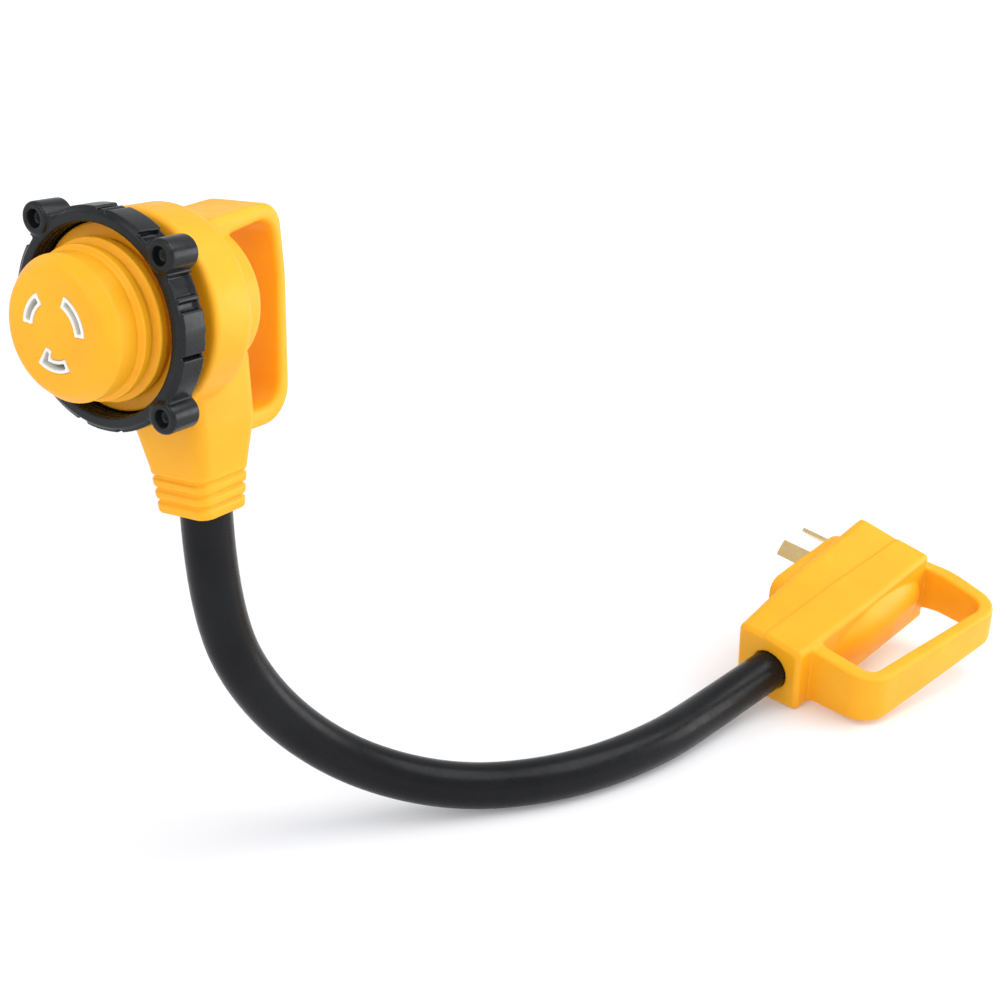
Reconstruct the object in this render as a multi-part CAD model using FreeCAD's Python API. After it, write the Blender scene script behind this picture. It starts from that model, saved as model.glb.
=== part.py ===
"""Short right-angle adapter cord for a travel trailer.

A twist-lock socket head stands on a stiff round cord, and the cord ends in a flat-lying
plug.  Both moulded ends carry a D-shaped pull handle.  Units are millimetres, +Z is up
and Z = 0 is the surface that the object lies on.

Three frames are used.
  Stand frame:  the cord leaves the head straight down along X = Y = 0.
  Socket frame: X to the right, Y up, Z out of the socket face (towards -Y of the stand).
  Plug frame:   X away from the cord, Y along the blades, Z through the handle's opening.
Every piece is moved at the end so that the origin is the bottom centre of head and plug.
"""
import FreeCAD, Part
import math
import os

Vector = FreeCAD.Vector

# ---- cord -----------------------------------------------------------------------
CORD_D = 17.5            # outer diameter of the jacket
CORD_R = CORD_D / 2
NECK_BOTTOM_Z = 132.0    # where the cord leaves the head
CORD_ROUTE = [           # points of the route in the stand frame
    (0.0, 0.0, 132.0),
    (0.0, 0.0, 93.0),
    (8.7, 12.0, 56.7),
    (26.9, 35.3, 26.9),
    (55.7, 63.5, 10.1),
    (86.0, 93.3, 8.8),
    (105.1, 134.4, 8.9),
    (113.5, 178.4, 10.5),
    (123.6, 210.5, 16.4),
]
ARC_SHARE = 0.45         # each arc takes this share of its shorter run
CORD_TAIL_HEAD = 24.0    # jacket that goes on inside the head
CORD_TAIL_PLUG = 16.0    # jacket that goes on inside the plug
WIRE_R = 2.2             # one insulated conductor
WIRE_RING_R = 3.0        # conductors lie on this circle inside the jacket
WIRE_BEND_R = 3.5

# ---- socket head, in the socket frame -------------------------------------------
AXIS_Z = 202.0           # height of the socket axis
DRUM_FRONT = 24.5        # front face of the drum
DRUM_PROFILE = [         # (radius, height, corner radius) from the domed back to the front
    (0.0, -9.0, 0.0),
    (23.6, -8.0, 5.5),
    (25.0, 4.5, 2.0),
    (31.6, 7.0, 5.0),
    (31.6, DRUM_FRONT, 2.0),
    (0.0, DRUM_FRONT, 0.0),
]
FACE_Z = 58.0            # socket face
FACE_FLAT_R = 18.6
NOSE_R = 22.0            # plain round nose that goes into the mating inlet
NOSE_END_Z = 53.6
BARREL_TAIL_Z = 10.0
BARREL_TAIL_R = 22.0
BARREL_NECK_R = 23.6     # where the ring turns
CARRIER_R = 15.3
CARRIER_BACK_Z = 14.0
FACE_WALL = 2.6
BOSS_PROUD = 0.35
SLOT_CIRCLE_R = 10.3
SLOT_W = 1.7
SLOT_RIM = 1.05
SLOT_DEPTH = 26.0
SLOTS = {                # name: (middle angle from up, towards +X; half of its angular length)
    "hot": (60.0, 27.5),
    "neutral": (-54.0, 21.5),
    "ground": (186.0, 25.0),
}
GROUND_LEG = 3.4         # the ground slot turns inwards at one end
CONTACT_T = 0.8
CONTACT_LENGTH = 22.0
CRIMP_R = 2.6
CRIMP_LENGTH = 9.0
HEAD_WIRE_RUN = 13.0     # how far a wire runs straight on out of the jacket
HEAD_WIRE_TURN = 8.0     # how far below its crimp it turns forward
HEAD_WIRE_LEAD = 3.6
HEAD_WIRE_SWEEP = {"hot": 4.6, "neutral": 4.6, "ground": 8.2}   # how far behind its crimp it rises
INNER_LEAF_SHARE = 0.55  # angular length of a contact's inner leaf, as a share of the outer one's

# ---- locking ring, in the socket frame ------------------------------------------
RING_BACK = 30.8
RING_FRONT = 41.6
RING_LIP_R = 32.9
RING_LIP_W = 1.5
RING_BAND_R = 31.6
RING_PAD_R = 34.0
RING_BORE_R = 29.2
RING_EDGE = 0.6
RING_CLEARANCE = 0.08    # running fit of ring and washer on the barrel's neck
RING_INNER_R = BARREL_NECK_R + RING_CLEARANCE
RING_FLANGE_T = 1.8
RING_TRAVEL = 2.0
THREAD_R = 30.0
THREAD_PITCH = 2.2
THREAD_HALF_W = 0.7
LOBE_ANGLES = (-36.0, 52.0, 137.0)
LOBE_CENTRE_R = 35.6
LOBE_R = 5.1
LOBE_FRONT = 42.6
LOBE_EDGE = 1.0
LOBE_INSET = 0.3
DIMPLE_R = 2.9
DIMPLE_END_R = 2.1
DIMPLE_DEPTH = 2.8
WEB_IN_R = 30.7          # the web that joins a lobe to the band
WEB_OUT_R = 34.1
WEB_HALF_ANGLE = 9.5
PAD_ANGLES = (-6.0, 24.0, 91.0, 115.5, 159.0, 184.0, 212.0, 240.0, 268.0, 296.0)
PAD_HALF_ANGLE = 11.0
PAD_ROOT_R = 30.9
PAD_INSET = 0.9
RIB_ANGLES = (9.0, 74.0)
RIB_HALF_ANGLE = 1.3
RIB_R = 33.6
WASHER_T = 2.5
WASHER_OUT_R = 28.7
WASHER_GAP = 0.1
WASHER_BACK = RING_BACK + RING_FLANGE_T + WASHER_GAP
WASHER_FRONT = WASHER_BACK + WASHER_T
STOP_BACK = WASHER_FRONT + RING_TRAVEL + WASHER_GAP
BARREL_PROFILE = [       # (radius, height, corner radius) from the tail to the face
    (0.0, BARREL_TAIL_Z, 0.0),
    (BARREL_TAIL_R, BARREL_TAIL_Z, 0.0),
    (BARREL_TAIL_R, DRUM_FRONT, 0.0),
    (BARREL_NECK_R, DRUM_FRONT, 0.0),
    (BARREL_NECK_R, STOP_BACK, 0.0),
    (24.8, STOP_BACK, 0.0),
    (24.8, 40.2, 0.0),
    (22.4, 41.0, 0.0),
    (22.4, 42.2, 0.0),
    (23.4, 42.8, 0.0),
    (23.4, 45.4, 0.0),
    (21.6, 46.0, 0.0),
    (21.6, 47.0, 0.0),
    (NOSE_R, 47.4, 0.0),
    (NOSE_R, NOSE_END_Z, 0.0),
    (FACE_FLAT_R, FACE_Z, 4.0),
    (0.0, FACE_Z, 0.0),
]

# ---- head handle and neck, in the stand frame -----------------------------------
GRIP_HALF_W = 12.5
GRIP_EDGE = 2.0
GRIP_OUTER = [           # (Y, Z, corner radius)
    (-20.0, 223.0, 0.0),
    (-2.0, 228.0, 30.0),
    (31.0, 230.5, 8.0),
    (33.0, 206.0, 60.0),
    (31.5, 157.0, 13.0),
    (-14.0, 157.0, 0.0),
]
GRIP_OPENING = [
    (-6.0, 220.0, 0.0),
    (27.0, 225.4, 6.0),
    (28.2, 205.0, 50.0),
    (26.2, 163.5, 8.0),
    (-6.0, 163.5, 0.0),
]
NECK_SECTIONS = [        # (Z, half width in X, front Y, back Y, corner radius)
    (147.0, 12.6, -14.2, 10.2, 4.5),
    (163.0, 15.2, -18.0, 12.4, 5.5),
    (184.0, 15.8, -21.0, 11.0, 6.0),
    (202.0, 12.0, -20.0, 3.0, 6.0),
]
RELIEF_SECTIONS = [
    (132.0, 11.2, -12.8, 9.2, 4.0),
    (147.0, 12.6, -14.2, 10.2, 4.5),
]
GROOVE_HEIGHTS = (144.4, 140.2, 136.0)
GROOVE_W = 1.5
GROOVE_DEPTH = 1.2

# ---- plug, in the plug frame ----------------------------------------------------
PLUG_YAW = 72.5          # direction of the plug's X axis in plan
PLUG_PITCH = 10.0        # its far end stands a little up on the stiff cord
PLUG_ROLL = 8.0          # and its handle leans down to the surface
PLUG_OUTLINE = [         # (X, Y, corner radius) of the body seen along Z
    (-1.0, 32.0, 0.0),
    (40.0, 32.0, 0.0),
    (96.0, 25.0, 13.0),
    (104.0, 6.0, 12.0),
    (101.0, -12.0, 6.0),
    (60.0, -17.0, 60.0),
    (-1.0, -16.0, 0.0),
]
PLUG_SIDE = [            # (X, Z, corner radius) upper half of the room that the body may fill
    (-5.0, 30.0, 0.0),
    (91.0, 30.0, 16.0),
    (105.0, 8.0, 10.0),
]
PLUG_SECTIONS = [        # (X, blade side Y, top Z there, rim Z, back Y, top Z there)
    (0.0, 16.4, 14.2, 15.2, -13.6, 13.4),
    (1.8, 18.2, 15.8, 16.8, -15.2, 15.0),
    (45.0, 22.4, 21.0, 19.4, -14.8, 16.4),
    (104.0, 25.4, 26.4, 20.6, -11.6, 17.4),
]
BULGE_AT = (56.0, -2.5, 0.0)   # barrel-shaped swelling behind the blades, for the fingers
BULGE_R = 18.0
BULGE_END_R = 11.5
BULGE_HALF_LENGTH = 36.0
RIM_FRONT_Y = 4.6        # a low step runs along both sides here, in front of the handle
RIM_BACK_Y = 3.8
RIM_STEP = 1.0
PLUG_CORNER_R = 4.0
PLUG_BACK_CORNER_R = 2.5
PLUG_GRIP_HALF_H = 40.0
PLUG_GRIP_LEAN = 20.0    # its taper runs a little towards the far end
PLUG_GRIP_END = [        # (Y, Z) upper half of the handle seen along its taper
    (60.0, 20.2),
    (-110.0, 5.6),
]
PLUG_GRIP_EDGE = 1.0
PLUG_GRIP_OUTER = [
    (8.5, 13.0, 0.0),
    (9.0, -46.5, 12.0),
    (101.0, -51.0, 14.0),
    (106.0, -22.0, 30.0),
    (100.5, 13.0, 0.0),
]
PLUG_GRIP_OPENING = [
    (16.0, 2.0, 0.0),
    (16.5, -40.5, 5.0),
    (95.0, -45.0, 8.0),
    (98.5, -20.0, 20.0),
    (96.5, 2.0, 0.0),
]
PAD_OUTLINE = [          # (X, Z, corner radius) of the pad that the blades stand on
    (33.0, -17.0, 7.0),
    (33.0, 17.0, 7.0),
    (90.0, 21.0, 14.0),
    (90.0, -21.0, 14.0),
]
PAD_BOTTOM_Y = 12.0
PAD_TOP_Y = 27.4
BLADE_TIP_Y = 48.4
BLADE_ROOT_Y = 5.0
BLADE_W = 7.9
BLADE_T = 1.8
BLADE_TIP_CHAMFER = 0.72
BLADE_TILT = 45.0
BLADES = {"hot_blade": (68.0, 9.0, 1), "neutral_blade": (87.0, 9.0, -1)}
PLUG_WIRE_RUN = 8.0      # how far a wire runs straight on out of the jacket
PLUG_WIRE_LEAD = 6.0
PLUG_WIRES = {           # name: (depth Y at which it crosses the plug, where it starts round the jacket)
    "hot": (-1.0, 60.0),
    "neutral": (-8.0, -60.0),
    "ground": (-1.0, 180.0),
}
GROUND_PIN_AT = (77.5, -11.0)
GROUND_PIN_R = 2.4
GROUND_SHANK_R = 2.0     # where it is held inside the plug
GROUND_PIN_TIP_Y = 50.4
GROUND_PIN_ROUND = 1.4
BRIDGE_HALF = (17.0, 5.0, 17.0)
BRIDGE_CENTRE = (77.5, 10.5, -1.0)
BRIDGE_EDGE = 2.0


# ---- shared helpers -------------------------------------------------------------
def corner(before, point, after, radius):
    """Tangent arc that rounds one corner: its start, middle and end."""
    back = (before - point).normalize()
    ahead = (after - point).normalize()
    half = back.getAngle(ahead) / 2
    reach = radius / math.tan(half)
    start = point + back * reach
    end = point + ahead * reach
    bisector = (back + ahead).normalize()
    middle = point + bisector * (radius / math.sin(half) - radius)
    return start, middle, end


def rounded_edges(points, radii, closed):
    """Straight runs joined by tangent arcs, in order."""
    count = len(points)
    edges = []
    cursor = points[0]
    first_start = None
    for index in range(count if closed else count - 1):
        here = points[index]
        if radii[index] > 0:
            start, middle, end = corner(points[index - 1], here, points[(index + 1) % count], radii[index])
            if index == 0:
                first_start = start
            elif (start - cursor).Length > 1e-6:
                edges.append(Part.LineSegment(cursor, start).toShape())
            edges.append(Part.Arc(start, middle, end).toShape())
            cursor = end
        elif index > 0:
            edges.append(Part.LineSegment(cursor, here).toShape())
            cursor = here
    last = points[-1]
    if closed:
        last = first_start if first_start else points[0]
    edges.append(Part.LineSegment(cursor, last).toShape())
    return edges


def prism(outline, plane, low, high):
    """Rounded outline in the plane named by two axes, drawn out along the third axis."""
    make = {
        "XY": lambda a, b: Vector(a, b, low),
        "XZ": lambda a, b: Vector(a, low, b),
        "YZ": lambda a, b: Vector(low, a, b),
    }[plane]
    along = {"XY": Vector(0, 0, 1), "XZ": Vector(0, 1, 0), "YZ": Vector(1, 0, 0)}[plane]
    points = [make(a, b) for a, b, radius in outline]
    radii = [radius for a, b, radius in outline]
    wire = Part.Wire(rounded_edges(points, radii, True))
    return Part.Face(wire).extrude(along * (high - low))


def turned(profile):
    """Solid of revolution about Z from (radius, height) or (radius, height, corner radius)."""
    points = [Vector(point[0], 0, point[1]) for point in profile]
    radii = [point[2] if len(point) > 2 else 0 for point in profile]
    face = Part.Face(Part.Wire(rounded_edges(points, radii, True)))
    return face.revolve(Vector(0, 0, 0), Vector(0, 0, 1), 360)


def tube_wall(inner, outer, low, high):
    """Plain round sleeve about Z."""
    sleeve = Part.makeCylinder(outer, high - low, Vector(0, 0, low))
    return sleeve.cut(Part.makeCylinder(inner, high - low, Vector(0, 0, low)))


def polar(radius, angle_deg, height=0.0):
    """Point in the socket frame; the angle is measured from up, towards +X."""
    angle = math.radians(angle_deg)
    return Vector(radius * math.sin(angle), radius * math.cos(angle), height)


def sector_band(inner, outer, angle, half_angle, low, high):
    """Part of a round band, between two angles and two heights."""
    first = angle - half_angle
    last = angle + half_angle
    edges = [
        Part.LineSegment(polar(inner, first, low), polar(outer, first, low)).toShape(),
        Part.Arc(polar(outer, first, low), polar(outer, angle, low), polar(outer, last, low)).toShape(),
        Part.LineSegment(polar(outer, last, low), polar(inner, last, low)).toShape(),
        Part.Arc(polar(inner, last, low), polar(inner, angle, low), polar(inner, first, low)).toShape(),
    ]
    return Part.Face(Part.Wire(edges)).extrude(Vector(0, 0, high - low))


def largest(shape):
    """The biggest solid of a cut shape; the slivers that a cut leaves are dropped."""
    return max(shape.Solids, key=lambda solid: solid.Volume)


def swept_round(points, radii, radius):
    """Round rod along straight runs joined by arcs."""
    path = Part.Wire(rounded_edges(points, radii, False))
    start_direction = (points[1] - points[0]).normalize()
    circle = Part.Wire(Part.Circle(points[0], start_direction, radius).toShape())
    return path.makePipeShell([circle], True, False), path


def rounded_block(centre, half, edge):
    """Box about a centre with all its edges rounded."""
    low = Vector(*centre) - Vector(*half)
    block = Part.makeBox(2 * half[0], 2 * half[1], 2 * half[2], low)
    return block.makeFillet(edge, block.Edges)


def to_stand_from_socket(shape):
    """Socket frame to stand frame."""
    moved = shape.copy()
    moved.Placement = FreeCAD.Placement(
        Vector(0, 0, AXIS_Z), FreeCAD.Rotation(Vector(1, 0, 0), 90)
    ).multiply(moved.Placement)
    return moved


def plug_placement():
    """Plug frame to stand frame: rolled, pitched, turned, then put at the cord's end."""
    turn = FreeCAD.Rotation(Vector(0, 0, 1), PLUG_YAW)
    pitch = FreeCAD.Rotation(Vector(0, 1, 0), -PLUG_PITCH)
    roll = FreeCAD.Rotation(Vector(1, 0, 0), PLUG_ROLL)
    return FreeCAD.Placement(Vector(*CORD_ROUTE[-1]), turn.multiply(pitch).multiply(roll))


def to_stand_from_plug(shape):
    """Plug frame to stand frame."""
    moved = shape.copy()
    moved.Placement = plug_placement().multiply(moved.Placement)
    return moved


# ---- cord and conductors --------------------------------------------------------
def cord_radii(points):
    """The largest arc that each corner's two runs allow."""
    radii = [0.0]
    for before, here, after in zip(points, points[1:], points[2:]):
        shorter = min((here - before).Length, (after - here).Length)
        turn = (here - before).getAngle(after - here)
        radii.append(ARC_SHARE * shorter / math.tan(turn / 2))
    return radii + [0.0]


def cord():
    """The jacketed cord from the head's neck to the plug."""
    points = [Vector(*point) for point in CORD_ROUTE]
    radii = cord_radii(points)
    rod, path = swept_round(points, radii, CORD_R)
    expected = math.pi * CORD_R ** 2 * path.Length
    print("cord arc radii", [round(radius, 1) for radius in radii[1:-1]])
    print("cord length", round(path.Length, 1), "volume ratio", round(rod.Volume / expected, 4))
    return rod


def cord_end_in_head():
    """Jacket that goes on up inside the neck."""
    return Part.makeCylinder(CORD_R, CORD_TAIL_HEAD, Vector(0, 0, NECK_BOTTOM_Z))


def cord_end_in_plug():
    """Jacket that goes on inside the plug body."""
    return Part.makeCylinder(CORD_R, CORD_TAIL_PLUG, Vector(0, 0, 0), Vector(1, 0, 0))


def head_wire(name):
    """One conductor from the jacket's end up and forward to its socket contact."""
    top = NECK_BOTTOM_Z + CORD_TAIL_HEAD
    middle_angle = SLOTS[name][0]
    at_contact = polar(SLOT_CIRCLE_R, middle_angle)
    in_jacket = polar(WIRE_RING_R, middle_angle)
    back = -(CARRIER_BACK_Z - CRIMP_LENGTH)
    height = AXIS_Z + at_contact.y
    points = [
        Vector(in_jacket.x, -in_jacket.y, top),
        Vector(in_jacket.x, -in_jacket.y, top + HEAD_WIRE_RUN),
        Vector(at_contact.x, back + HEAD_WIRE_SWEEP[name], height - HEAD_WIRE_TURN),
        Vector(at_contact.x, back + HEAD_WIRE_LEAD, height),
        Vector(at_contact.x, back, height),
    ]
    radii = [0.0, WIRE_BEND_R, WIRE_BEND_R, WIRE_BEND_R, 0.0]
    return swept_round(points, radii, WIRE_R)[0]


def plug_wire(name, at_x, at_z):
    """One conductor from the jacket's end to the root of its blade or pin."""
    depth, angle = PLUG_WIRES[name]
    start = polar(WIRE_RING_R, angle)
    points = [
        Vector(CORD_TAIL_PLUG, start.x, start.y),
        Vector(CORD_TAIL_PLUG + PLUG_WIRE_RUN, start.x, start.y),
        Vector(at_x - PLUG_WIRE_LEAD, depth, at_z),
        Vector(at_x, depth, at_z),
        Vector(at_x, BLADE_ROOT_Y, at_z),
    ]
    radii = [0.0, WIRE_BEND_R, WIRE_BEND_R, WIRE_BEND_R, 0.0]
    return swept_round(points, radii, WIRE_R)[0]


# ---- socket insert --------------------------------------------------------------
def slot_shape(name, grow, low, high):
    """A curved slot, wider by grow on every side; the ground slot has an inward leg."""
    angle, half_angle = SLOTS[name]
    half_w = SLOT_W / 2 + grow
    extra = math.degrees(grow / SLOT_CIRCLE_R)
    slot = sector_band(SLOT_CIRCLE_R - half_w, SLOT_CIRCLE_R + half_w, angle, half_angle + extra, low, high)
    if name == "ground":
        end = angle + half_angle - math.degrees(SLOT_W / 2 / SLOT_CIRCLE_R)
        leg_half = math.degrees(half_w / SLOT_CIRCLE_R)
        inner = SLOT_CIRCLE_R - GROUND_LEG - grow
        slot = slot.fuse(sector_band(inner, SLOT_CIRCLE_R, end, leg_half, low, high)).removeSplitter()
    return slot


def socket_barrel():
    """Coloured front of the socket: rounded nose, moulded ribs, and the neck for the ring."""
    shell = turned(BARREL_PROFILE)
    bore_depth = FACE_Z - FACE_WALL - BARREL_TAIL_Z
    shell = shell.cut(Part.makeCylinder(CARRIER_R, bore_depth, Vector(0, 0, BARREL_TAIL_Z)))
    for name in SLOTS:
        shell = shell.cut(slot_shape(name, SLOT_RIM, FACE_Z - 2 * FACE_WALL, FACE_Z + 1))
    return shell


def contact_carrier():
    """Pale core behind the face; a raised rim round each slot shows through the face."""
    front = FACE_Z - FACE_WALL
    core = Part.makeCylinder(CARRIER_R, front - CARRIER_BACK_Z, Vector(0, 0, CARRIER_BACK_Z))
    for name in SLOTS:
        core = core.fuse(slot_shape(name, SLOT_RIM, front - 1, FACE_Z + BOSS_PROUD))
    for name in SLOTS:
        core = core.cut(slot_shape(name, 0.0, FACE_Z - SLOT_DEPTH, FACE_Z + 2))
        core = core.cut(crimp_barrel(name))
        core = core.cut(contact_spring(name))
    return core.removeSplitter()


def contact_spring(name):
    """Two thin curved leaves, one each side of the slot, joined at the back."""
    angle, half_angle = SLOTS[name]
    low = FACE_Z - SLOT_DEPTH - CONTACT_T
    high = low + CONTACT_LENGTH
    half_w = SLOT_W / 2
    outer_leaf = sector_band(SLOT_CIRCLE_R + half_w, SLOT_CIRCLE_R + half_w + CONTACT_T,
                             angle, half_angle, low, high)
    inner_leaf = sector_band(SLOT_CIRCLE_R - half_w - CONTACT_T, SLOT_CIRCLE_R - half_w,
                             angle, half_angle * INNER_LEAF_SHARE, low, high)
    web = sector_band(SLOT_CIRCLE_R - half_w - CONTACT_T, SLOT_CIRCLE_R + half_w + CONTACT_T,
                      angle, half_angle * INNER_LEAF_SHARE, low, low + CONTACT_T)
    return outer_leaf.fuse([inner_leaf, web])


def crimp_barrel(name):
    """Round barrel behind the leaves that grips the conductor."""
    low = CARRIER_BACK_Z - CRIMP_LENGTH
    high = FACE_Z - SLOT_DEPTH - CONTACT_T / 2
    return Part.makeCylinder(CRIMP_R, high - low, polar(SLOT_CIRCLE_R, SLOTS[name][0], low))


def socket_contact(name):
    """One female contact: leaves and crimp barrel in one piece."""
    return contact_spring(name).fuse(crimp_barrel(name)).removeSplitter()


# ---- locking ring ---------------------------------------------------------------
def ring_body():
    """Round band with a lip at each end, a back flange and thread grooves in its bore."""
    flange_front = RING_BACK + RING_FLANGE_T
    profile = [
        (RING_INNER_R, RING_BACK),
        (RING_LIP_R - RING_EDGE, RING_BACK),
        (RING_LIP_R, RING_BACK + RING_EDGE),
        (RING_LIP_R, RING_BACK + RING_LIP_W),
        (RING_BAND_R, RING_BACK + RING_LIP_W + RING_EDGE),
        (RING_BAND_R, RING_FRONT - RING_LIP_W - RING_EDGE),
        (RING_LIP_R, RING_FRONT - RING_LIP_W),
        (RING_LIP_R, RING_FRONT - RING_EDGE),
        (RING_LIP_R - RING_EDGE, RING_FRONT),
        (RING_BORE_R + RING_EDGE, RING_FRONT),
        (RING_BORE_R, RING_FRONT - RING_EDGE),
    ]
    groove = RING_FRONT - THREAD_PITCH
    while groove > flange_front + THREAD_PITCH:
        profile.append((RING_BORE_R, groove + THREAD_HALF_W))
        profile.append((THREAD_R, groove))
        profile.append((RING_BORE_R, groove - THREAD_HALF_W))
        groove -= THREAD_PITCH
    profile.append((RING_BORE_R, flange_front))
    profile.append((RING_INNER_R, flange_front))
    return turned(profile)


def ring_lobe(angle):
    """Finger lobe: a stubby round post with a dished end and a web down to the band."""
    low = RING_BACK + LOBE_INSET
    post = Part.makeCylinder(LOBE_R, LOBE_FRONT - low, polar(LOBE_CENTRE_R, angle, low))
    post = post.makeFillet(LOBE_EDGE, [edge for edge in post.Edges if edge.Closed])
    dimple_end = polar(LOBE_CENTRE_R, angle, LOBE_FRONT - DIMPLE_DEPTH)
    dimple = Part.makeCone(DIMPLE_END_R, DIMPLE_R, DIMPLE_DEPTH, dimple_end)
    web = sector_band(WEB_IN_R, WEB_OUT_R, angle, WEB_HALF_ANGLE, low, RING_FRONT)
    return post.fuse(web).cut(dimple)


def locking_ring():
    """Black ring with finger lobes, raised pads and ribs round its rim."""
    low = RING_BACK + PAD_INSET
    high = RING_FRONT - PAD_INSET
    extras = [ring_lobe(angle) for angle in LOBE_ANGLES]
    for angle in PAD_ANGLES:
        extras.append(sector_band(PAD_ROOT_R, RING_PAD_R, angle, PAD_HALF_ANGLE, low, high))
    for angle in RIB_ANGLES:
        extras.append(sector_band(PAD_ROOT_R, RIB_R, angle, RIB_HALF_ANGLE, low, high))
    return ring_body().fuse(extras).removeSplitter()


def slip_washer():
    """Thin washer in front of the ring's flange, so that the ring turns freely on its stop."""
    return tube_wall(RING_INNER_R, WASHER_OUT_R, WASHER_BACK, WASHER_FRONT)


# ---- head housing ---------------------------------------------------------------
def section_wire(height, half_w, front, back, radius):
    """Rounded rectangle across the neck at one height."""
    points = [
        Vector(-half_w, front, height), Vector(half_w, front, height),
        Vector(half_w, back, height), Vector(-half_w, back, height),
    ]
    return Part.Wire(rounded_edges(points, [radius] * len(points), True))


def lofted(sections):
    """Solid through rounded rectangles, with straight sides between them."""
    return Part.makeLoft([section_wire(*section) for section in sections], True, True)


def head_drum():
    """Round case behind the ring, in the stand frame."""
    return to_stand_from_socket(turned(DRUM_PROFILE))


def head_internals():
    """Everything that the head is moulded round, in the stand frame."""
    pieces = [to_stand_from_socket(Part.makeCylinder(
        BARREL_TAIL_R, DRUM_FRONT - BARREL_TAIL_Z, Vector(0, 0, BARREL_TAIL_Z)))]
    for name in SLOTS:
        pieces.append(to_stand_from_socket(crimp_barrel(name)))
        pieces.append(head_wire(name))
    pieces.append(cord_end_in_head())
    return pieces


def head_housing():
    """Drum and neck, moulded in one round the working parts."""
    return head_drum().fuse(lofted(NECK_SECTIONS)).cut(head_internals()).removeSplitter()


def head_grip():
    """D-shaped pull handle on the back of the head."""
    outer = prism(GRIP_OUTER, "YZ", -GRIP_HALF_W, GRIP_HALF_W)
    opening = prism(GRIP_OPENING, "YZ", -2 * GRIP_HALF_W, 2 * GRIP_HALF_W)
    loop = outer.cut(opening)
    loop = loop.makeFillet(GRIP_EDGE, side_edges(loop, 0, GRIP_HALF_W))
    return loop.cut([head_drum(), lofted(NECK_SECTIONS)])


def head_strain_relief():
    """Ribbed end of the neck round the cord."""
    relief = lofted(RELIEF_SECTIONS)
    for height in GROOVE_HEIGHTS:
        low, high = RELIEF_SECTIONS
        share = (height - low[0]) / (high[0] - low[0])
        half_w = low[1] + (high[1] - low[1]) * share - GROOVE_DEPTH
        front = low[2] + (high[2] - low[2]) * share + GROOVE_DEPTH
        back = low[3] + (high[3] - low[3]) * share - GROOVE_DEPTH
        core = Part.Face(section_wire(height - GROOVE_W / 2, half_w, front, back, low[4] - GROOVE_DEPTH))
        slab = Part.makeBox(60, 60, GROOVE_W, Vector(-30, -30, height - GROOVE_W / 2))
        relief = relief.cut(slab.cut(core.extrude(Vector(0, 0, GROOVE_W))))
    return relief.cut(cord_end_in_head())


def side_edges(shape, axis, distance):
    """Edges that lie wholly on either flat side of a prism centred on the frame."""
    found = []
    for edge in shape.Edges:
        box = edge.BoundBox
        low = (box.XMin, box.YMin, box.ZMin)[axis]
        high = (box.XMax, box.YMax, box.ZMax)[axis]
        if high - low < 1e-6 and abs(abs(low) - distance) < 1e-6:
            found.append(edge)
    return found


# ---- plug -----------------------------------------------------------------------
def mirrored_below(upper):
    """Closed outline from its upper half."""
    return upper + [(along, -up, radius) for along, up, radius in reversed(upper)]


def plug_section(along, blade_y, blade_z, rim_z, back_y, back_z):
    """Cross-section of the body, with the low step near its middle."""
    upper = [
        (blade_y, blade_z, PLUG_CORNER_R),
        (RIM_FRONT_Y, rim_z - RIM_STEP, 0.0),
        (RIM_BACK_Y, rim_z, 0.0),
        (back_y, back_z, PLUG_BACK_CORNER_R),
    ]
    outline = mirrored_below(upper)
    points = [Vector(along, across, up) for across, up, radius in outline]
    radii = [radius for across, up, radius in outline]
    return Part.Wire(rounded_edges(points, radii, True))


def plug_blank():
    """Outer form of the plug body: its sections, rounded off in plan and from the side."""
    body = Part.makeLoft([plug_section(*section) for section in PLUG_SECTIONS], True, True)
    body = body.common(prism(PLUG_OUTLINE, "XY", -40, 40))
    body = body.common(prism(mirrored_below(PLUG_SIDE), "XZ", -40, 40))
    return body.fuse(finger_bulge())


def finger_bulge():
    """Swelling of the body inside the handle: an arc turned round a line along X."""
    start = Vector(-BULGE_HALF_LENGTH, BULGE_END_R, 0)
    end = Vector(BULGE_HALF_LENGTH, BULGE_END_R, 0)
    crown = Part.Arc(start, Vector(0, BULGE_R, 0), end).toShape()
    rest = Part.makePolygon([end, Vector(end.x, 0, 0), Vector(start.x, 0, 0), start])
    face = Part.Face(Part.Wire([crown] + rest.Edges))
    bulge = face.revolve(Vector(0, 0, 0), Vector(1, 0, 0), 360)
    bulge.translate(Vector(*BULGE_AT))
    return bulge


def blade_pad():
    """Raised pad on the plug's face."""
    return prism(PAD_OUTLINE, "XZ", PAD_BOTTOM_Y, PAD_TOP_Y)


def blade(name):
    """Flat blade, turned about its own length, with a bevelled tip."""
    at_x, at_z, side = BLADES[name]
    length = BLADE_TIP_Y - BLADE_ROOT_Y
    bar = Part.makeBox(BLADE_W, length, BLADE_T, Vector(-BLADE_W / 2, 0, -BLADE_T / 2))
    tip = [edge for edge in bar.Edges if edge.BoundBox.YMin > length - 1e-6]
    bar = bar.makeChamfer(BLADE_TIP_CHAMFER, tip)
    bar.rotate(Vector(0, 0, 0), Vector(0, 1, 0), -side * BLADE_TILT)
    bar.translate(Vector(at_x, BLADE_ROOT_Y, at_z))
    return bar


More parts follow.
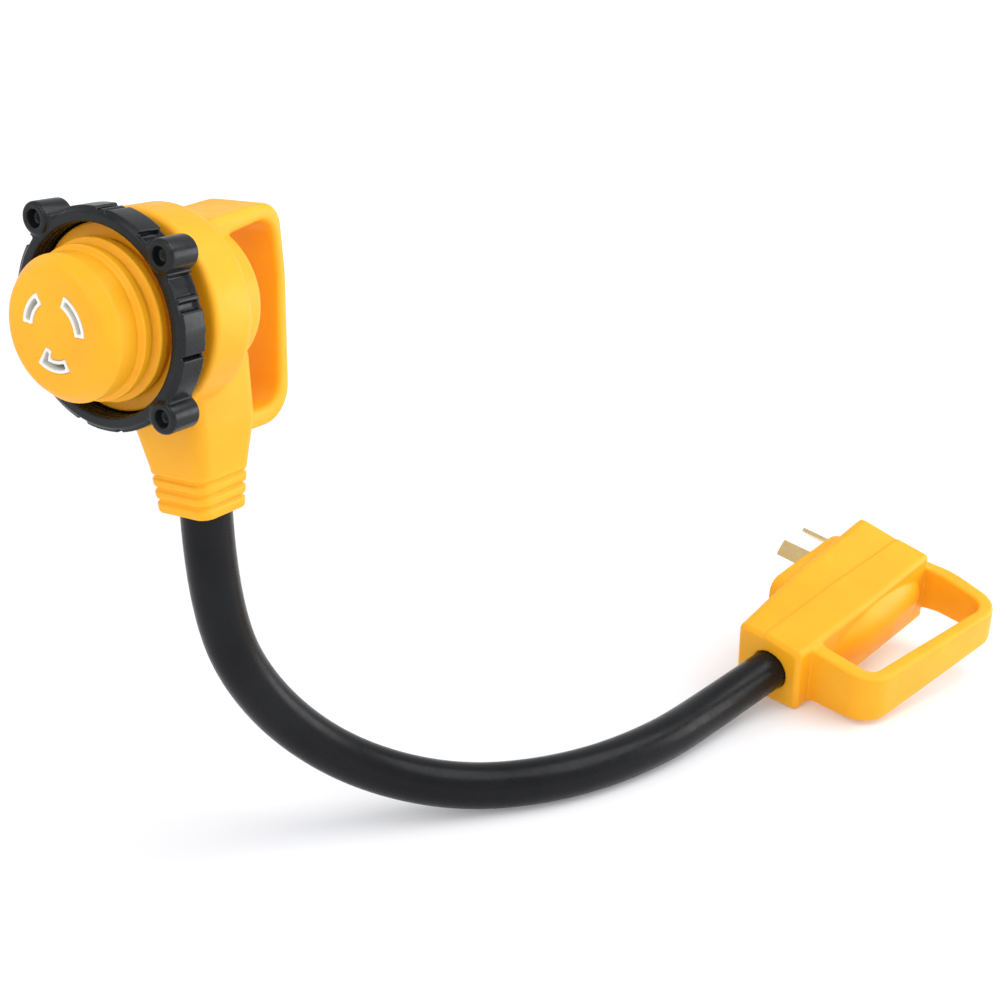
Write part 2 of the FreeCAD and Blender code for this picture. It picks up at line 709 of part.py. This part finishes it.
def ground_pin():
    """Round earth pin with a rounded tip, on a thinner shank inside the plug."""
    at_x, at_z = GROUND_PIN_AT
    outward = Vector(0, 1, 0)
    pin = Part.makeCylinder(
        GROUND_PIN_R, GROUND_PIN_TIP_Y - PAD_TOP_Y, Vector(at_x, PAD_TOP_Y, at_z), outward)
    tip = [edge for edge in pin.Edges if edge.BoundBox.YMin > GROUND_PIN_TIP_Y - 1e-6]
    pin = pin.makeFillet(GROUND_PIN_ROUND, tip)
    shank = Part.makeCylinder(
        GROUND_SHANK_R, PAD_TOP_Y - BLADE_ROOT_Y, Vector(at_x, BLADE_ROOT_Y, at_z), outward)
    return pin.fuse(shank)


def blade_bridge():
    """Stiff block inside the plug that holds the blades and the pin."""
    block = rounded_block(BRIDGE_CENTRE, BRIDGE_HALF, BRIDGE_EDGE)
    return block.cut([blade(name) for name in BLADES] + [ground_pin()])


def plug_wires():
    """The three conductors inside the plug."""
    return {
        "hot": plug_wire("hot", *BLADES["hot_blade"][:2]),
        "neutral": plug_wire("neutral", *BLADES["neutral_blade"][:2]),
        "ground": plug_wire("ground", *GROUND_PIN_AT),
    }


def plug_housing():
    """Moulded plug body round its working parts."""
    body = plug_blank()
    body = body.fuse(blade_pad()).removeSplitter()
    inside = [cord_end_in_plug(), ground_pin(), rounded_block(BRIDGE_CENTRE, BRIDGE_HALF, BRIDGE_EDGE)]
    inside += [blade(name) for name in BLADES]
    inside += list(plug_wires().values())
    return body.cut(inside)


def grip_wedge():
    """Room that the plug's handle may fill: a wedge that narrows away from the blades."""
    outline = [(across, up, 0.0) for across, up in PLUG_GRIP_END]
    wedge = prism(mirrored_below(outline), "YZ", -200, 200)
    wedge.rotate(Vector(0, 0, 0), Vector(0, 0, 1), PLUG_GRIP_LEAN)
    return wedge


def tapered_edges(shape):
    """Edges that lie wholly on either of the handle's two sloping sides."""
    (near_y, near_z), (far_y, far_z) = PLUG_GRIP_END
    slope = (near_z - far_z) / (near_y - far_y)
    lean = math.radians(PLUG_GRIP_LEAN)

    def on_side(vertex, sign):
        along = vertex.Y * math.cos(lean) - vertex.X * math.sin(lean)
        return abs(sign * vertex.Z - far_z - slope * (along - far_y)) < 1e-6

    found = []
    for edge in shape.Edges:
        for sign in (1, -1):
            if all(on_side(vertex, sign) for vertex in edge.Vertexes):
                found.append(edge)
    return found


def plug_grip():
    """D-shaped pull handle behind the plug's face, thinner towards its bar."""
    outer = prism(PLUG_GRIP_OUTER, "XY", -PLUG_GRIP_HALF_H, PLUG_GRIP_HALF_H)
    opening = prism(PLUG_GRIP_OPENING, "XY", -PLUG_GRIP_HALF_H, PLUG_GRIP_HALF_H)
    loop = outer.common(grip_wedge()).cut(opening)
    loop = loop.makeFillet(PLUG_GRIP_EDGE, tapered_edges(loop))
    return largest(loop.cut(plug_blank().fuse(blade_pad())))


# ---- the whole object -----------------------------------------------------------
def all_pieces():
    """Every piece by name, in the stand frame."""
    pieces = {
        "head_housing": head_housing(),
        "head_grip": head_grip(),
        "head_strain_relief": head_strain_relief(),
        "socket_barrel": to_stand_from_socket(socket_barrel()),
        "contact_carrier": to_stand_from_socket(contact_carrier()),
        "locking_ring": to_stand_from_socket(locking_ring()),
        "slip_washer": to_stand_from_socket(slip_washer()),
        "cord_end_in_head": cord_end_in_head(),
        "cord": cord(),
        "cord_end_in_plug": to_stand_from_plug(cord_end_in_plug()),
        "plug_housing": to_stand_from_plug(plug_housing()),
        "plug_grip": to_stand_from_plug(plug_grip()),
        "blade_bridge": to_stand_from_plug(blade_bridge()),
        "ground_pin": to_stand_from_plug(ground_pin()),
    }
    for name in SLOTS:
        pieces["socket_contact_" + name] = to_stand_from_socket(socket_contact(name))
        pieces["head_wire_" + name] = head_wire(name)
    for name in BLADES:
        pieces[name] = to_stand_from_plug(blade(name))
    for name, wire in plug_wires().items():
        pieces["plug_wire_" + name] = to_stand_from_plug(wire)
    return pieces


def origin_shift(pieces):
    """Move that puts the origin at the bottom centre of everything but the cord."""
    solids = [shape for name, shape in pieces.items() if name != "cord"]
    box = Part.makeCompound(solids).optimalBoundingBox(False, False)
    print("lowest point of head and plug", round(box.ZMin, 2))
    return Vector(-box.Center.x, -box.Center.y, 0)


def main():
    os.makedirs("parts", exist_ok=True)
    pieces = all_pieces()
    shift = origin_shift(pieces)
    print("shift", [round(value, 3) for value in shift])
    for name, shape in pieces.items():
        shape.translate(shift)
        shape.exportStep("parts/" + name + ".step")
        box = shape.BoundBox
        print(name, len(shape.Solids), shape.isValid(), round(shape.Volume),
              [round(value, 1) for value in (box.XMin, box.YMin, box.ZMin, box.XMax, box.YMax, box.ZMax)])


main()
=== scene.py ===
"""Looks of the power adapter: a round locking socket and a blade plug joined by a short stiff cord.

Everything is in metres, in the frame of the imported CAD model. Moulded pieces are copies of the
CAD nodes with rounded edges, the cord is one smooth curve, and all finishes are procedural.
"""

import math

import bmesh
import bpy
from mathutils import Matrix, Vector
from mathutils.bvhtree import BVHTree


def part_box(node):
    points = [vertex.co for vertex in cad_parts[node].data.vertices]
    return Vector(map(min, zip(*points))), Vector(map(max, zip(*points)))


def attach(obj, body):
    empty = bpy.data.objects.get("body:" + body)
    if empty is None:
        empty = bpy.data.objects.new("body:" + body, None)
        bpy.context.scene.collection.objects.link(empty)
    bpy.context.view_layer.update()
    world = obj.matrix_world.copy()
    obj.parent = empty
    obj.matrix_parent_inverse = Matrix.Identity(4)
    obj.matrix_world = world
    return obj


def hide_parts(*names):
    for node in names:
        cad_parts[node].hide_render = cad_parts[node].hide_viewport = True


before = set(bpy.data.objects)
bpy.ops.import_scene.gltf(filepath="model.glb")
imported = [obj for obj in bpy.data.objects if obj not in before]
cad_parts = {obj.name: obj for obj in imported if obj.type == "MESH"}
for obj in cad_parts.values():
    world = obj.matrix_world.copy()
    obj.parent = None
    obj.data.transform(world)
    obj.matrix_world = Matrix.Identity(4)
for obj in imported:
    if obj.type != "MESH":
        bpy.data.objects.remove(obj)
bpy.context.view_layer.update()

# ---- camera ---------------------------------------------------------------------------------

# The camera stands in front of the head, a little higher than its top, and looks down past it.
CAMERA_FROM_HEAD = Vector((0.3246, -0.3505, 0.2949))
CAMERA_HEADING = 120.97
CAMERA_PITCH = -18.98
CAMERA_LENS = 53.5
CAMERA_SENSOR = 36.0
CAMERA_SEES = 200.0

# ---- cord -----------------------------------------------------------------------------------

CORD_DIAMETER = 0.0175
CORD_SIDE_CUTS = 10      # round the jacket
CORD_RUN_CUTS = 20       # along each piece of the spline
# Route from the head down and round to the plug, measured from the head's axis at floor level.
CORD_ROUTE = [
    (0.0000, 0.0000, 0.1320),
    (0.0000, 0.0000, 0.0930),
    (0.0087, 0.0120, 0.0567),
    (0.0269, 0.0353, 0.0269),
    (0.0557, 0.0635, 0.0101),
    (0.0860, 0.0933, 0.0088),
    (0.1051, 0.1344, 0.0089),
    (0.1135, 0.1784, 0.0105),
    (0.1236, 0.2105, 0.0164),
]


def new_object(name, data):
    """Object that shows this data, in the scene."""
    thing = bpy.data.objects.new(name, data)
    bpy.context.scene.collection.objects.link(thing)
    return thing


def middle(node):
    """Centre of a CAD node's box."""
    low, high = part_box(node)
    return (low + high) / 2


def head_axis():
    """Foot of the head's upright cord axis, on the floor."""
    centre = middle("cord_end_in_head")
    return Vector((centre.x, centre.y, 0.0))


def look_from(place, heading, pitch):
    """Matrix of a camera at place, without roll, that looks along heading and pitch in degrees."""
    heading, pitch = math.radians(heading), math.radians(pitch)
    ahead = Vector((
        math.cos(heading) * math.cos(pitch),
        math.sin(heading) * math.cos(pitch),
        math.sin(pitch),
    ))
    return Matrix.Translation(place) @ ahead.to_track_quat("-Z", "Y").to_matrix().to_4x4()


def make_camera():
    data = bpy.data.cameras.new("camera")
    data.lens = CAMERA_LENS
    data.sensor_width = CAMERA_SENSOR
    data.clip_end = CAMERA_SEES
    camera = new_object("camera", data)
    camera.matrix_world = look_from(head_axis() + CAMERA_FROM_HEAD, CAMERA_HEADING, CAMERA_PITCH)
    bpy.context.scene.camera = camera


def make_cord():
    """The jacket: one smooth spline whose control points are the route's points.

    Its thickness is in the points' radius, because Blender pads a curve's own box by that radius.
    """
    curve = bpy.data.curves.new("cord_jacket", "CURVE")
    curve.dimensions = "3D"
    curve.bevel_depth = 1.0
    curve.bevel_resolution = CORD_SIDE_CUTS
    curve.resolution_u = CORD_RUN_CUTS
    curve.use_fill_caps = True
    spline = curve.splines.new("NURBS")
    spline.points.add(len(CORD_ROUTE) - 1)
    foot = head_axis()
    for point, place in zip(spline.points, CORD_ROUTE):
        point.co = (*(foot + Vector(place)), 1.0)
        point.radius = CORD_DIAMETER / 2
    spline.order_u = 3
    spline.use_endpoint_u = True
    cord = new_object("cord_jacket", curve)
    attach(cord, "adapter")
    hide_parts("cord")
    return cord


make_camera()
jacket = make_cord()

# ---- materials ------------------------------------------------------------------------------

NOISE_RANGE = (0.3, 0.7)         # most of a noise's values lie in this range
ALONG = (1.0, 1.0, 0.15)         # stretches a noise into streaks along Z
FINE_ALONG = (1.0, 1.0, 0.1)
DEFAULT_GLOSS = 0.5              # Blender's own specular level

# A mix node has sockets of the same names for every kind of data. These are the colour ones.
MIX_SHARE, MIX_FIRST, MIX_SECOND = 0, 6, 7
MIX_RESULT = 2

SCUFF_GRAIN = (240.0, 8.0, 0.7, (1.0, 1.0, 2.4))
SCUFF_RANGE = (0.60, 0.74)       # only the noise's highest values are scuffs
SCUFF_STRENGTH = (0.0, 0.18)

# How light scatters under the amber plastic's surface: share, and reach of red, green and blue.
AMBER_SCATTER = 0.12
AMBER_SCATTER_REACH = (0.0030, 0.0012, 0.0003)


class Nodes:
    """Small helper that builds one material's node tree.

    A grain is a noise's arguments: grains per metre, detail, roughness and stretch.
    """

    def __init__(self, name):
        self.material = bpy.data.materials.new(name)
        self.material.use_nodes = True
        self.tree = self.material.node_tree
        self.shader = self.tree.nodes["Principled BSDF"]
        self.place = self.add("ShaderNodeTexCoord").outputs["Object"]

    def add(self, kind, **settings):
        node = self.tree.nodes.new(kind)
        for key, value in settings.items():
            setattr(node, key, value)
        return node

    def link(self, source, target):
        self.tree.links.new(source, target)

    def drive(self, source, name):
        """Feeds the shader's socket of this name."""
        self.link(source, self.shader.inputs[name])

    def fix(self, name, value):
        """Gives the shader's socket of this name one value."""
        self.shader.inputs[name].default_value = value

    def noise(self, per_metre, detail=3.0, roughness=0.5, stretch=(1.0, 1.0, 1.0)):
        """Noise value whose grains are 1/per_metre across."""
        mapping = self.add("ShaderNodeMapping")
        mapping.inputs["Scale"].default_value = stretch
        self.link(self.place, mapping.inputs["Vector"])
        noise = self.add("ShaderNodeTexNoise")
        noise.inputs["Scale"].default_value = per_metre
        noise.inputs["Detail"].default_value = detail
        noise.inputs["Roughness"].default_value = roughness
        self.link(mapping.outputs["Vector"], noise.inputs["Vector"])
        return noise.outputs["Fac"]

    def tint(self, value, tones):
        """Colour that runs between two tones as a noise's value rises."""
        ramp = self.add("ShaderNodeValToRGB")
        for element, position, tone in zip(ramp.color_ramp.elements, NOISE_RANGE, tones):
            element.position = position
            element.color = (*tone, 1.0)
        self.link(value, ramp.inputs["Fac"])
        return ramp.outputs["Color"]

    def span(self, value, source, target):
        """Maps a value from the range source to the range target."""
        scale = self.add("ShaderNodeMapRange")
        scale.inputs["From Min"].default_value, scale.inputs["From Max"].default_value = source
        scale.inputs["To Min"].default_value, scale.inputs["To Max"].default_value = target
        self.link(value, scale.inputs["Value"])
        return scale.outputs["Result"]

    def blend(self, share, first, tone):
        """Blends a tone into a colour by a value."""
        mix = self.add("ShaderNodeMix", data_type="RGBA")
        self.link(share, mix.inputs[MIX_SHARE])
        self.link(first, mix.inputs[MIX_FIRST])
        mix.inputs[MIX_SECOND].default_value = (*tone, 1.0)
        return mix.outputs[MIX_RESULT]

    def bump(self, layers):
        """Chains bumps; each layer is (grain, strength, depth in metres)."""
        normal = None
        for grain, strength, depth in layers:
            bump = self.add("ShaderNodeBump")
            bump.inputs["Strength"].default_value = strength
            bump.inputs["Distance"].default_value = depth
            self.link(self.noise(*grain), bump.inputs["Height"])
            if normal is not None:
                self.link(normal, bump.inputs["Normal"])
            normal = bump.outputs["Normal"]
        self.drive(normal, "Normal")


def surface(name, tones, cloud, rough, speckle, layers, gloss=DEFAULT_GLOSS, scuff=None):
    """Material with clouded colour, uneven roughness and bumps; scuff is the tone of its scuffs."""
    paint = Nodes(name)
    colour = paint.tint(paint.noise(*cloud), tones)
    if scuff is not None:
        worn = paint.span(paint.noise(*SCUFF_GRAIN), SCUFF_RANGE, SCUFF_STRENGTH)
        colour = paint.blend(worn, colour, scuff)
    paint.drive(colour, "Base Color")
    paint.drive(paint.span(paint.noise(*speckle), NOISE_RANGE, rough), "Roughness")
    paint.fix("Specular IOR Level", gloss)
    paint.bump(layers)
    return paint


def moulded_amber():
    paint = surface(
        "amber_plastic",
        tones=((0.88, 0.385, 0.008), (0.95, 0.445, 0.013)),
        cloud=(38.0, 4.0, 0.55),
        rough=(0.36, 0.52),
        speckle=(160.0, 5.0, 0.6),
        layers=[((2600.0, 2.0), 0.16, 0.00006), ((120.0,), 0.20, 0.00018)],
        gloss=0.28,
        scuff=(0.96, 0.56, 0.07),
    )
    paint.fix("Subsurface Weight", AMBER_SCATTER)
    paint.fix("Subsurface Radius", AMBER_SCATTER_REACH)
    paint.fix("Subsurface Scale", 1.0)
    return paint.material


def moulded_black():
    return surface(
        "ring_plastic",
        tones=((0.0050, 0.0068, 0.0075), (0.0105, 0.0130, 0.0140)),
        cloud=(60.0, 5.0),
        rough=(0.20, 0.34),
        speckle=(300.0, 6.0, 0.65),
        layers=[((2200.0, 2.0), 0.08, 0.00005), ((150.0,), 0.12, 0.00012)],
        gloss=0.25,
    ).material


def jacket_black():
    return surface(
        "cord_vinyl",
        tones=((0.0040, 0.0042, 0.0050), (0.0085, 0.0088, 0.0098)),
        cloud=(45.0, 5.0),
        rough=(0.22, 0.36),
        speckle=(220.0, 6.0, 0.6),
        layers=[((1500.0,), 0.10, 0.00006), ((70.0,), 0.26, 0.0003)],
        gloss=0.17,
    ).material


def plain_plastic(name, dark, light, rough=(0.36, 0.50)):
    return surface(
        name,
        tones=(dark, light),
        cloud=(90.0, 5.0),
        rough=rough,
        speckle=(300.0, 5.0),
        layers=[((1800.0, 2.0), 0.15, 0.00005)],
    ).material


def rolled_brass():
    paint = surface(
        "rolled_brass",
        tones=((0.74, 0.52, 0.22), (0.82, 0.62, 0.31)),
        cloud=(120.0, 6.0, 0.6),
        rough=(0.20, 0.38),
        speckle=(900.0, 6.0, 0.7, ALONG),
        layers=[((1600.0, 4.0, 0.6, FINE_ALONG), 0.15, 0.00004)],
    )
    paint.fix("Metallic", 1.0)
    return paint.material


AMBER = moulded_amber()
RING_BLACK = moulded_black()
JACKET = jacket_black()
BRASS = rolled_brass()
CARRIER = plain_plastic("carrier_nylon", (0.78, 0.76, 0.70), (0.86, 0.84, 0.79))
BRIDGE = plain_plastic("bridge_resin", (0.20, 0.20, 0.19), (0.28, 0.28, 0.27), (0.49, 0.63))
WIRES = {
    "hot": plain_plastic("wire_black", (0.010, 0.010, 0.010), (0.022, 0.022, 0.022)),
    "neutral": plain_plastic("wire_white", (0.74, 0.74, 0.72), (0.84, 0.84, 0.82)),
    "ground": plain_plastic("wire_green", (0.02, 0.20, 0.05), (0.03, 0.28, 0.08)),
}

NODE_MATERIALS = {
    "cord_end_in_head": JACKET,
    "cord_end_in_plug": JACKET,
    "blade_bridge": BRIDGE,
    "ground_pin": BRASS,
}
for pole, wire in WIRES.items():
    NODE_MATERIALS[f"socket_contact_{pole}"] = BRASS
    NODE_MATERIALS[f"head_wire_{pole}"] = wire
    NODE_MATERIALS[f"plug_wire_{pole}"] = wire


def dress(piece, material):
    """Gives a piece this one material."""
    piece.data.materials.clear()
    piece.data.materials.append(material)


dress(jacket, JACKET)
for node, material in NODE_MATERIALS.items():
    dress(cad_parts[node], material)

# ---- moulded and stamped pieces -------------------------------------------------------------

SAME_PLACE = 1e-6        # corners nearer than this are one
CASE_SKIN = 0.00050      # cell of the skin on the housings
FINE_SKIN = 0.00035      # on the nose and the ring
RIM_SKIN = 0.00025       # on the thin rims of the slots
SKIN_ROUNDS = 4          # relaxing rounds of a skin, where more make rounder edges
PLUG_ROUNDS = 5
HEAD_GRIP_ROUNDS = 12
PLUG_GRIP_ROUNDS = 30
RELAX_SHARE = 0.5        # how far a round moves a corner towards its neighbours' middle
GRIP_REACH = 0.0012      # how near a skin has to be to count as lying on a node
DISTANCE = 3             # where the distance stands in what a tree's search gives
LIGHT_SHARE = 0.35       # part of the skin's faces that a moulding keeps in the end

LINER_HALF = 0.0004      # half of the sleeve's wall
LINER_INSET = 0.0012     # how much shorter than the strain relief the sleeve is
LINER_SIDES = 96

BLADE_EDGE = 0.0003
WASHER_EDGE = 0.0006
EDGE_CUTS = 2


def copied(name, nodes):
    """New object whose mesh is these CAD nodes' meshes together."""
    mesh = bpy.data.meshes.new(name)
    joined = bmesh.new()
    for node in nodes:
        joined.from_mesh(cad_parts[node].data)
    bmesh.ops.remove_doubles(joined, verts=joined.verts, dist=SAME_PLACE)
    joined.to_mesh(mesh)
    joined.free()
    return new_object(name, mesh)


def settle(piece):
    """Applies a piece's modifiers and shades it smooth."""
    bpy.context.view_layer.update()
    shaped = piece.evaluated_get(bpy.context.evaluated_depsgraph_get())
    done = bpy.data.meshes.new_from_object(shaped)
    piece.modifiers.clear()
    piece.data = done
    done.polygons.foreach_set("use_smooth", [True] * len(done.polygons))
    done.update()


def finish_piece(piece, body, nodes, material):
    """Says what a piece rides on, stands for and is made of."""
    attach(piece, body)
    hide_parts(*nodes)
    dress(piece, material)


def relax(piece, rounds, group=""):
    """Adds a modifier that evens a piece out, or the part of it that is in a vertex group."""
    smooth = piece.modifiers.new("relax", "SMOOTH")
    smooth.factor = RELAX_SHARE
    smooth.iterations = rounds
    smooth.vertex_group = group


def skin(piece, cell, rounds):
    """Rebuilds a piece as one even skin and relaxes it, which rounds its edges."""
    remesh = piece.modifiers.new("skin", "REMESH")
    remesh.mode = "VOXEL"
    remesh.voxel_size = cell
    relax(piece, rounds)
    settle(piece)


def lighten(piece):
    """Drops the faces that a smooth skin doesn't need."""
    lighter = piece.modifiers.new("lighter", "DECIMATE")
    lighter.ratio = LIGHT_SHARE
    settle(piece)


def search_tree(node):
    """Tree that finds the nearest point of a CAD node's surface."""
    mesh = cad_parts[node].data
    corners = [vertex.co for vertex in mesh.vertices]
    return BVHTree.FromPolygons(corners, [face.vertices[:] for face in mesh.polygons])


def soften_where(piece, soft, hard, rounds):
    """Relaxes a skin further where it lies on the node soft, and less so near the node hard."""
    on_soft, on_hard = search_tree(soft), search_tree(hard)
    group = piece.vertex_groups.new(name="soft")
    for vertex in piece.data.vertices:
        gap = on_hard.find_nearest(vertex.co)[DISTANCE]
        if gap > GRIP_REACH and on_soft.find_nearest(vertex.co)[DISTANCE] < GRIP_REACH:
            group.add([vertex.index], min(1.0, gap / GRIP_REACH - 1.0), "REPLACE")
    relax(piece, rounds, "soft")
    settle(piece)
    piece.vertex_groups.clear()


def line_bore(case, node):
    """Adds a thin sleeve round the jacket, so that it doesn't show at the bottom of the grooves."""
    low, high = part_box(node)
    half = (high.z - low.z) / 2
    place = Matrix.Translation(head_axis() + Vector((0.0, 0.0, low.z + half)))
    sleeve = bmesh.new()
    sleeve.from_mesh(case.data)
    inner, outer = (
        bmesh.ops.create_cone(
            sleeve, cap_ends=False, segments=LINER_SIDES, radius1=radius, radius2=radius,
            depth=2 * half - LINER_INSET, matrix=place,
        )["verts"]
        for radius in (CORD_DIAMETER / 2 - LINER_HALF, CORD_DIAMETER / 2 + LINER_HALF)
    )
    faces = {face for vertex in inner for face in vertex.link_faces}
    bmesh.ops.reverse_faces(sleeve, faces=list(faces))
    sleeve.to_mesh(case.data)
    sleeve.free()


def make_case(name, nodes, rounds, grip_rounds):
    """Amber moulding of several nodes; its handle, the second node, is rounder than the rest."""
    case = copied(name, nodes)
    if "head_strain_relief" in nodes:
        line_bore(case, "head_strain_relief")
    skin(case, CASE_SKIN, rounds)
    soften_where(case, nodes[1], nodes[0], grip_rounds)
    lighten(case)
    finish_piece(case, "adapter", nodes, AMBER)


def make_plain(name, node, cell, body, material):
    """Moulding of one node."""
    piece = copied(name, [node])
    skin(piece, cell, SKIN_ROUNDS)
    lighten(piece)
    finish_piece(piece, body, [node], material)


def make_broken(name, node, edge, body, material):
    """Stamped or turned piece: the CAD node with its edges broken."""
    piece = copied(name, [node])
    bevel = piece.modifiers.new("broken_edges", "BEVEL")
    bevel.width = edge
    bevel.segments = EDGE_CUTS
    bevel.limit_method = "ANGLE"
    settle(piece)
    piece.data.shade_flat()
    finish_piece(piece, body, [node], material)


HEAD_NODES = ["head_housing", "head_grip", "head_strain_relief"]
PLUG_NODES = ["plug_housing", "plug_grip"]

make_case("head_case", HEAD_NODES, SKIN_ROUNDS, HEAD_GRIP_ROUNDS)
make_case("plug_case", PLUG_NODES, PLUG_ROUNDS, PLUG_GRIP_ROUNDS)
make_plain("socket_nose", "socket_barrel", FINE_SKIN, "adapter", AMBER)
make_plain("slot_rims", "contact_carrier", RIM_SKIN, "adapter", CARRIER)
make_plain("ring_moulded", "locking_ring", FINE_SKIN, "ring", RING_BLACK)
for node in ("hot_blade", "neutral_blade"):
    make_broken(node + "_stamped", node, BLADE_EDGE, "adapter", BRASS)
make_broken("washer_turned", "slip_washer", WASHER_EDGE, "washer", AMBER)

# ---- floor and light ------------------------------------------------------------------------

FLOOR_HALF = 60.0
FLOOR_TONES = ((0.78, 0.78, 0.80), (0.80, 0.80, 0.82))
FLOOR_GRAIN = (3.0, 4.0)
FLOOR_ROUGHNESS = 0.9
FLOOR_GLOW = (0.15, 0.52)        # near the object and far away
GLOW_REACH = (0.35, 1.6)
WHITE = (1.0, 1.0, 1.0, 1.0)

ZENITH_TONE = (0.70, 0.71, 0.73)
ZENITH_HEIGHT = 0.85
WORLD_STRENGTH = 0.96

# Soft boxes: name, place from the cord's middle, size and watts.
LAMPS = [
    ("key", (0.55, 0.25, 0.95), (0.9, 0.7), 5.8),
    ("side", (0.62, 0.58, 0.16), (0.5, 0.4), 2.4),
    ("fill", (0.10, -0.85, 0.72), (0.9, 0.7), 3.2),
]


def make_floor():
    """White paper that glows more the further away it is, to stay nearly as bright as the sky."""
    mesh = bpy.data.meshes.new("floor")
    sides = ((-1, -1), (1, -1), (1, 1), (-1, 1))
    corners = [(x * FLOOR_HALF, y * FLOOR_HALF, 0.0) for x, y in sides]
    mesh.from_pydata(corners, [], [(0, 1, 2, 3)])
    floor = new_object("floor", mesh)
    paint = Nodes("floor_paper")
    paint.drive(paint.tint(paint.noise(*FLOOR_GRAIN), FLOOR_TONES), "Base Color")
    paint.fix("Roughness", FLOOR_ROUGHNESS)
    paint.fix("Specular IOR Level", 0.0)
    paint.fix("Emission Color", WHITE)
    away = paint.add("ShaderNodeVectorMath", operation="LENGTH")
    paint.link(paint.place, away.inputs[0])
    paint.drive(paint.span(away.outputs["Value"], GLOW_REACH, FLOOR_GLOW), "Emission Strength")
    mesh.materials.append(paint.material)


def make_lamp(name, place, size, watts):
    """Soft box at place, measured from the cord's middle, that looks at it."""
    data = bpy.data.lights.new(name, "AREA")
    data.shape = "RECTANGLE"
    data.size, data.size_y = size
    data.energy = watts
    lamp = new_object(name, data)
    target = middle("cord")
    lamp.location = target + Vector(place)
    lamp.rotation_euler = (target - lamp.location).to_track_quat("-Z", "Y").to_euler()


def make_world():
    """Studio air: white at the horizon, dimmer overhead, so that gloss has something to show."""
    world = bpy.data.worlds.new("studio")
    bpy.context.scene.world = world
    world.use_nodes = True
    tree = world.node_tree
    direction = tree.nodes.new("ShaderNodeTexCoord").outputs["Generated"]
    height = tree.nodes.new("ShaderNodeSeparateXYZ")
    tree.links.new(direction, height.inputs["Vector"])
    ramp = tree.nodes.new("ShaderNodeValToRGB")
    horizon, zenith = ramp.color_ramp.elements
    horizon.position = 0.0
    horizon.color = WHITE
    zenith.position = ZENITH_HEIGHT
    zenith.color = (*ZENITH_TONE, 1.0)
    tree.links.new(height.outputs["Z"], ramp.inputs["Fac"])
    background = tree.nodes["Background"]
    tree.links.new(ramp.outputs["Color"], background.inputs["Color"])
    background.inputs["Strength"].default_value = WORLD_STRENGTH


make_floor()
make_world()
for lamp in LAMPS:
    make_lamp(*lamp)
bpy.context.scene.view_settings.view_transform = "Standard"
